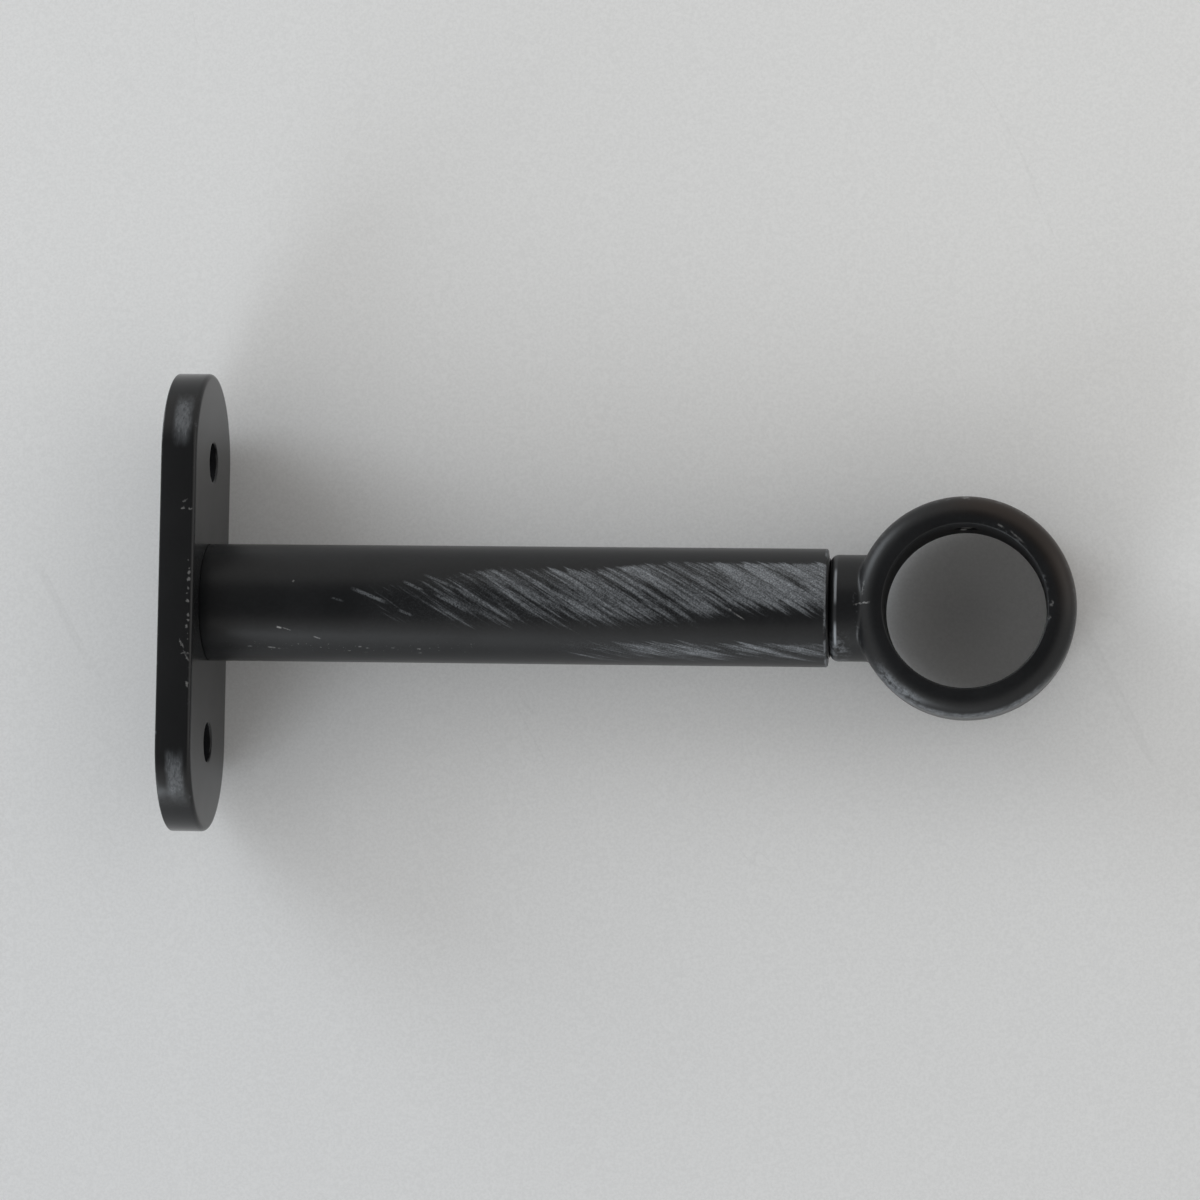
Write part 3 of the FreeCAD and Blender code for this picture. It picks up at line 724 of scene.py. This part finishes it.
def make_collar(turns, runs):
    """Collar, its face and stud hole, and its hollow blend into the ring. Each column lies at one
    angle round the arm's axis and ends on the rectangle of turns and runs cut from the ring. The
    blend is a curve with three control points: on the collar short of the corner where its side
    would meet the ring, at that corner, and on the ring beyond it."""
    frame_line = loop_round(turns, runs)
    angle = np.arctan2(frame_line[:, 1], RING_RADIUS * frame_line[:, 0])
    y, z = COLLAR_RADIUS * np.sin(angle), COLLAR_RADIUS * np.cos(angle)
    over = np.clip((np.abs(y) - SHOULDER_START) / RING_SHOULDER, 0, 1)
    run = np.sign(y) * (np.minimum(np.abs(y), SHOULDER_START) + RING_SHOULDER * np.arcsin(over))
    ring_radius = RING_RADIUS - RING_SHOULDER * (1 - np.sqrt(1 - over ** 2))
    turn = np.arcsin(z / ring_radius)
    corner = ring_outside(turn, run)
    start = corner - (NECK_REACH, 0, 0)
    outer = np.stack([turn + NECK_REACH * np.cos(angle) / ring_radius,
                      run + NECK_REACH * np.sin(angle)], axis=1)
    share = np.linspace(0, 1, 9)[:, None, None]
    blend = ((1 - share) ** 2 * start + 2 * share * (1 - share) * corner
             + share ** 2 * ring_outside(outer[:, 0], outer[:, 1]))
    patch = between(outer, frame_line, 16)
    floor = RING_CENTRE - BORE_RADIUS - STUD_HOLE_WALL
    face = rounded([
        (floor, 0, 0),
        (floor, TAPPED_RADIUS, 0.2),
        (COLLAR_FACE + 0.6, TAPPED_RADIUS, 0.15),
        (COLLAR_FACE, TAPPED_RADIUS + 0.6, 0.1),
        (COLLAR_FACE, COLLAR_RADIUS, COLLAR_ROUND),
        (COLLAR_FACE + COLLAR_ROUND + 0.2, COLLAR_RADIUS, 0)], 7)
    face = turned(face[:, 0], face[:, 1], angle)
    return np.concatenate([face, between(face[-1], start, 4)[1:], blend[1:],
                           ring_outside(patch[1:, :, 0], patch[1:, :, 1])])


def make_grub_hole(turns, runs):
    """Grub screw's hole, from a rectangle cut from the ring's outside, down the hole and out on
    a rectangle of the same turns cut from the bore."""
    frame_line = loop_round(turns, runs)
    angle = np.arctan2(frame_line[:, 1], -np.cos(frame_line[:, 0]) * RING_RADIUS)

    def mouth(ring_radius, hole_radius):
        """Where the hole's side meets a cylinder round the ring's axis, as (turn, y)."""
        turn = np.arccos(-hole_radius * np.cos(angle) / ring_radius)
        return np.stack([turn, hole_radius * np.sin(angle)], axis=1)

    def on_cylinder(points, radius):
        """(turn, y) points on a cylinder round the ring's axis."""
        return np.stack([RING_CENTRE - radius * np.cos(points[..., 0]), points[..., 1],
                         radius * np.sin(points[..., 0])], axis=-1)

    wide, narrow = GRUB_HOLE_RADIUS + 0.3, GRUB_HOLE_RADIUS
    outside = on_cylinder(between(frame_line, mouth(RING_RADIUS, wide), 7), RING_RADIUS)
    inside = on_cylinder(between(mouth(BORE_RADIUS, narrow + 0.08), frame_line, 7), BORE_RADIUS)
    top = on_cylinder(mouth(RING_RADIUS - 0.3, narrow), RING_RADIUS - 0.3)
    bottom = on_cylinder(mouth(BORE_RADIUS + 0.08, narrow), BORE_RADIUS + 0.08)
    return np.concatenate([outside, between(top, bottom, 12), inside])


def make_ring_head():
    """Ring: its outside over a grid of turns and runs, its faces and bore as a line carried round
    the ring's axis, with rectangles left open for the collar and the grub screw's hole."""
    turns = full_circle(RING_COLUMNS)
    shoulder = SHOULDER_START + RING_SHOULDER * np.linspace(0, math.pi / 2, 19)
    beside_hole = between(OPEN_HALF, SHOULDER_START, 6)
    hole_runs = np.linspace(-OPEN_HALF, OPEN_HALF, 15)
    runs = chain(-shoulder[::-1], -beside_hole[::-1], hole_runs, beside_hole, shoulder)
    outside = ring_outside(turns, runs[:, None])
    collar_turns = np.radians(np.arange(-28, 29) * COLUMN)
    hole_turns = np.radians(90 + np.arange(-11, 12) * COLUMN)
    turn_middle = (turns[:-1] + turns[1:]) / 2
    at_collar = np.minimum(turn_middle, 2 * math.pi - turn_middle) < collar_turns[-1]
    at_hole = np.abs(turn_middle - math.pi / 2) < hole_turns[-1] - math.pi / 2
    run_middle = (runs[:-1] + runs[1:]) / 2
    keep = ~(at_collar | (at_hole & (np.abs(run_middle) < OPEN_HALF)[:, None]))
    face = rounded([
        (RING_HALF_WIDTH, RING_RADIUS - RING_SHOULDER, 0),
        (RING_HALF_WIDTH, BORE_RADIUS, BORE_ROUND),
        (OPEN_HALF, BORE_RADIUS, 0)], 6)
    face = chain(filled(face[:2], 0.5), face[1:-1], between(face[-2], face[-1], 10))
    bore = between(face[-1], face[-1] * (-1, 1), 14)
    line = chain(face, bore, (face * (-1, 1))[::-1])
    inside = np.stack(np.broadcast_arrays(
        RING_CENTRE - line[:, 1:] * np.cos(turns), line[:, :1], line[:, 1:] * np.sin(turns)), axis=-1)
    line_middle = (line[:-1] + line[1:]) / 2
    in_bore = (np.abs(line_middle[:, 0]) < OPEN_HALF) & (line_middle[:, 1] < BORE_RADIUS + 0.01)
    return [(outside, keep), (inside, ~(at_hole & in_bore[:, None])), make_collar(collar_turns, runs),
            make_grub_hole(hole_turns, hole_runs)]


def make_grub_screw():
    """Grub screw: cup point, V thread, bevelled end and hexagon socket, turned round Z."""
    around = full_circle(96)
    tip, top, floor = grub_low[2], grub_high[2], grub_high[2] - 1.9
    thread = np.arange(tip + 0.7, top - 0.3, 0.07)
    cup = rounded([(tip + 0.5, 0, 0), (tip, 1.2, 0.06), (tip + 0.7, GRUB_RADIUS, 0)], 4)
    up = np.concatenate([cup[:, 0], thread[1:], [top - 0.3, top, top, top - 0.15, floor, floor]])
    body = np.concatenate([cup[:, 1], np.full(len(thread), GRUB_RADIUS), [1.7]])
    flat = hexagon(1.0, around)
    radius = np.concatenate([np.repeat(body[:, None], len(around), 1),
                             [flat + 0.15, flat, flat, flat * 0]])
    radius = threaded(radius, up, around, GRUB_RADIUS, 0.36, tip + 0.5, top - 0.1, 0.7)
    return [turned(up, radius, around, (RING_CENTRE, 0, 0), "Z")]


def make_plate_screw():
    """Plate screw: hexagon socket, countersunk head, V thread and bevelled end, turned round X."""
    around = full_circle(96)
    start, end = screw_low[0], screw_high[0]
    thread = np.arange(start + 3.4, end - 0.6, 0.1)
    head = rounded([
        (start, 5.0, 0),
        (start, 5.8, 0.12),
        (start + 2.8, SCREW_RADIUS, 0.3),
        (start + 3.4, SCREW_RADIUS, 0)])
    along = np.concatenate([[start + 2.6, start + 2.2, start + 0.2, start], head[:, 0],
                            thread[1:], [end - 0.6, end, end]])
    body = np.concatenate([head[:, 1], np.full(len(thread), SCREW_RADIUS), [SCREW_END_RADIUS, 0.0]])
    flat = hexagon(2.0, around)
    radius = np.concatenate([[flat * 0, flat, flat, flat + 0.2],
                             np.repeat(body[:, None], len(around), 1)])
    radius = threaded(radius, along, around, SCREW_RADIUS, SCREW_GROOVE, start + 3.6, end, SCREW_PITCH)
    return [turned(along, radius, around)]


def make_head_stud():
    """Head stud: V thread from end to end and bevelled ends, turned round X."""
    around = full_circle(72)
    start, end = stud_low[0], stud_high[0]
    thread = np.arange(start + 0.6, end - 0.6, 0.1)
    along = np.concatenate([[start, start], thread, [end - 0.6, end, end]])
    radius = np.concatenate([[0, SCREW_END_RADIUS], np.full(len(thread) + 1, SCREW_RADIUS),
                             [SCREW_END_RADIUS, 0]])[:, None]
    radius = threaded(radius, along, around, SCREW_RADIUS, SCREW_GROOVE, start, end, SCREW_PITCH)
    return [turned(along, radius, around)]


plate_paint, tube_paint, head_paint = plate_finish(), brushed_tube_finish(), head_finish()
bright_steel = steel_finish("turned_steel", rgb(0.56, 0.56, 0.55), 0.25)
dark_steel = steel_finish("blackened_steel", rgb(0.10, 0.10, 0.105), 0.35)
worn_steel = steel_finish("worn_steel", rgb(0.62, 0.61, 0.59), 0.22)
add_piece("rounded_wall_plate", "wall_plate", plate_paint, make_wall_plate())
add_piece("brushed_arm_tube", "arm_tube", tube_paint, make_arm_tube())
add_piece("cast_ring_head", "ring_head", head_paint, make_ring_head())
add_piece("cup_point_grub_screw", "grub_screw", worn_steel, make_grub_screw(), 30)
add_piece("countersunk_plate_screw", "plate_screw", dark_steel, make_plate_screw(), 30)
add_piece("threaded_head_stud", "head_stud", bright_steel, make_head_stud(), 30)
for node in ("rear_plug", "front_plug"):
    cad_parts[node].material_slots[0].material = bright_steel


# Camera: nearly square to the plate's edge and the ring's bore, a little from below and the ring end
CAMERA_PLACE = (0.14381, -0.67213, -0.04068)
CAMERA_YAW, CAMERA_PITCH, CAMERA_ROLL = -6.007, 3.529, 0.906
CAMERA_LENS = 119.7


def aim(thing, place, yaw, pitch, roll):
    """Stands a camera at a place in metres, looking along +Y turned by yaw towards +X, by pitch
    upwards and by roll about its own line, in degrees."""
    yaw, pitch, roll = map(math.radians, (yaw, pitch, roll))
    ahead = Vector((math.sin(yaw) * math.cos(pitch), math.cos(yaw) * math.cos(pitch), math.sin(pitch)))
    side = Vector((math.cos(yaw), -math.sin(yaw), 0.0))
    top = side.cross(ahead)
    side, top = (math.cos(roll) * side + math.sin(roll) * top,
                 math.cos(roll) * top - math.sin(roll) * side)
    turn = Matrix((side, top, -ahead)).transposed()
    thing.matrix_world = Matrix.Translation(place) @ turn.to_4x4()


lens = bpy.data.cameras.new("camera")
lens.sensor_width = 36.0
lens.lens = CAMERA_LENS
camera = in_scene("camera", lens)
aim(camera, CAMERA_PLACE, CAMERA_YAW, CAMERA_PITCH, CAMERA_ROLL)
bpy.context.scene.camera = camera


def table_finish():
    """Pale table. Seen from behind it lets the view through, so that the back can be looked at."""
    nodes = Nodes(bpy.data.materials.new("pale_table"))
    at, x, y, z = nodes.place()
    cloud = nodes.noise(at, 60.0, 2.0)
    # Paler towards the top and the ring end as painted light, where more light falls, with soft clouds
    # of tone
    paler = z.ramp(-90.0, 60.0) * 0.55 + x.ramp(-40.0, 190.0) * 0.45 + (cloud - 0.5) * 0.2
    colour = nodes.mix(paler, TABLE_LOW_LEFT, TABLE_HIGH_RIGHT)
    # Fine grain, whose low places are darker
    grain = nodes.noise(at, 0.5, 2.0, 0.7)
    colour = nodes.mix(grain.ramp(0.30, 0.70), nodes.mix(0.07, colour, rgb(0.0, 0.0, 0.0)), colour)
    # Fine scratches: thin lines where a slow noise crosses its middle level
    slow = nodes.noise(nodes.vector(x * 0.9 + z * 0.5, 0.0, z * 0.07), 11.0, 1.0)
    scratched = abs(slow - 0.5).ramp(0.003, 0.0) * nodes.noise(at, 30.0, 1.0).ramp(0.55, 0.65)
    colour = nodes.mix(scratched * 0.06, colour, SCRATCH)
    top = nodes.add("ShaderNodeBsdfPrincipled", {}, {
        "Base Color": colour, "Roughness": 0.7, "Normal": nodes.bump(grain, TABLE_RELIEF)})
    clear = nodes.add("ShaderNodeBsdfTransparent", {}, {})
    behind = nodes.add("ShaderNodeNewGeometry", {}, {}, "Backfacing")
    seen = nodes.add("ShaderNodeMixShader", {}, {0: behind, 1: top, 2: clear})
    nodes.add("ShaderNodeOutputMaterial", {}, {"Surface": seen})
    return nodes.owner


# Table: it touches the plate's long edge and the back of the ring's far side
TABLE_SLOPE = -0.0344
TABLE_REACH = 1500.0


def table_point(x, z):
    """Point of the table in metres: y starts at the plate's far side and falls with x by the slope."""
    return x * MM, (PLATE_HALF_WIDTH + TABLE_SLOPE * (x - PLATE_FRONT)) * MM, z * MM


table_corners = [table_point(-TABLE_REACH, -TABLE_REACH), table_point(TABLE_REACH, -TABLE_REACH),
                 table_point(TABLE_REACH, TABLE_REACH), table_point(-TABLE_REACH, TABLE_REACH)]
table_mesh = bpy.data.meshes.new("table")
table_mesh.from_pydata(table_corners, [], [(0, 1, 2, 3)])
table_mesh.materials.append(table_finish())
table = in_scene("table", table_mesh)

# Lamps: name, angle off the line from the object towards -Y, angle round that line from +X over
# +Z, width, height, watts for a square metre, colour
COOL, WARM = (0.87, 0.94, 1.0), (1.0, 0.985, 0.96)
LAMPS = (
    ("window_low_left", 74, 236, 0.7, 0.7, 14.0, COOL),
    ("window_high_left", 76, 147, 0.8, 0.8, 13.5, COOL),
    ("near_left", 34, 180, 0.78, 0.78, 0.45, COOL),
    ("low_edge", 80, 270, 1.1, 0.7, 1.2, COOL),
    ("right", 74, 15, 0.8, 0.9, 1.6, WARM),
)
MIDDLE = Vector((0.077, 0.0, 0.0))
LAMP_DISTANCE = 1.5


def add_lamp(name, off, around, width, height, strength, colour):
    """Rectangular lamp that faces the object from one of the places that LAMPS lists."""
    light = bpy.data.lights.new(name, "AREA")
    light.shape = "RECTANGLE"
    light.size, light.size_y = width, height
    light.energy = strength * width * height
    light.color = colour
    lamp = in_scene(name, light)
    off, around = math.radians(off), math.radians(around)
    back = Vector((math.sin(off) * math.cos(around), -math.cos(off), math.sin(off) * math.sin(around)))
    lamp.matrix_world = (Matrix.Translation(MIDDLE + back * LAMP_DISTANCE)
                         @ (-back).to_track_quat("-Z", "Y").to_matrix().to_4x4())


for row in LAMPS:
    add_lamp(*row)

BACKDROP = rgb(0.54, 0.545, 0.55)
HORIZON = rgb(0.765, 0.755, 0.735)
FRONT = rgb(0.160, 0.156, 0.152)


def set_world():
    """Pale grey backdrop for the camera. What lights the object and shows in its gloss is paler and
    warmer, and dark in front, where a photographer would stand."""
    nodes = Nodes(bpy.data.worlds.new("studio"))
    direction = nodes.add("ShaderNodeTexCoord", {}, {}, "Generated")
    ahead = nodes.add("ShaderNodeSeparateXYZ", {}, {0: direction}, "Y")
    glow = nodes.mix(ahead.ramp(-0.90, -0.66), FRONT, HORIZON)
    seen = nodes.add("ShaderNodeLightPath", {}, {}, "Is Camera Ray")
    colour = nodes.mix(seen, glow, BACKDROP)
    shader = nodes.add("ShaderNodeBackground", {}, {"Color": colour, "Strength": 1.0})
    nodes.add("ShaderNodeOutputWorld", {}, {"Surface": shader})
    bpy.context.scene.world = nodes.owner


set_world()
bpy.context.scene.view_settings.view_transform = "Standard"
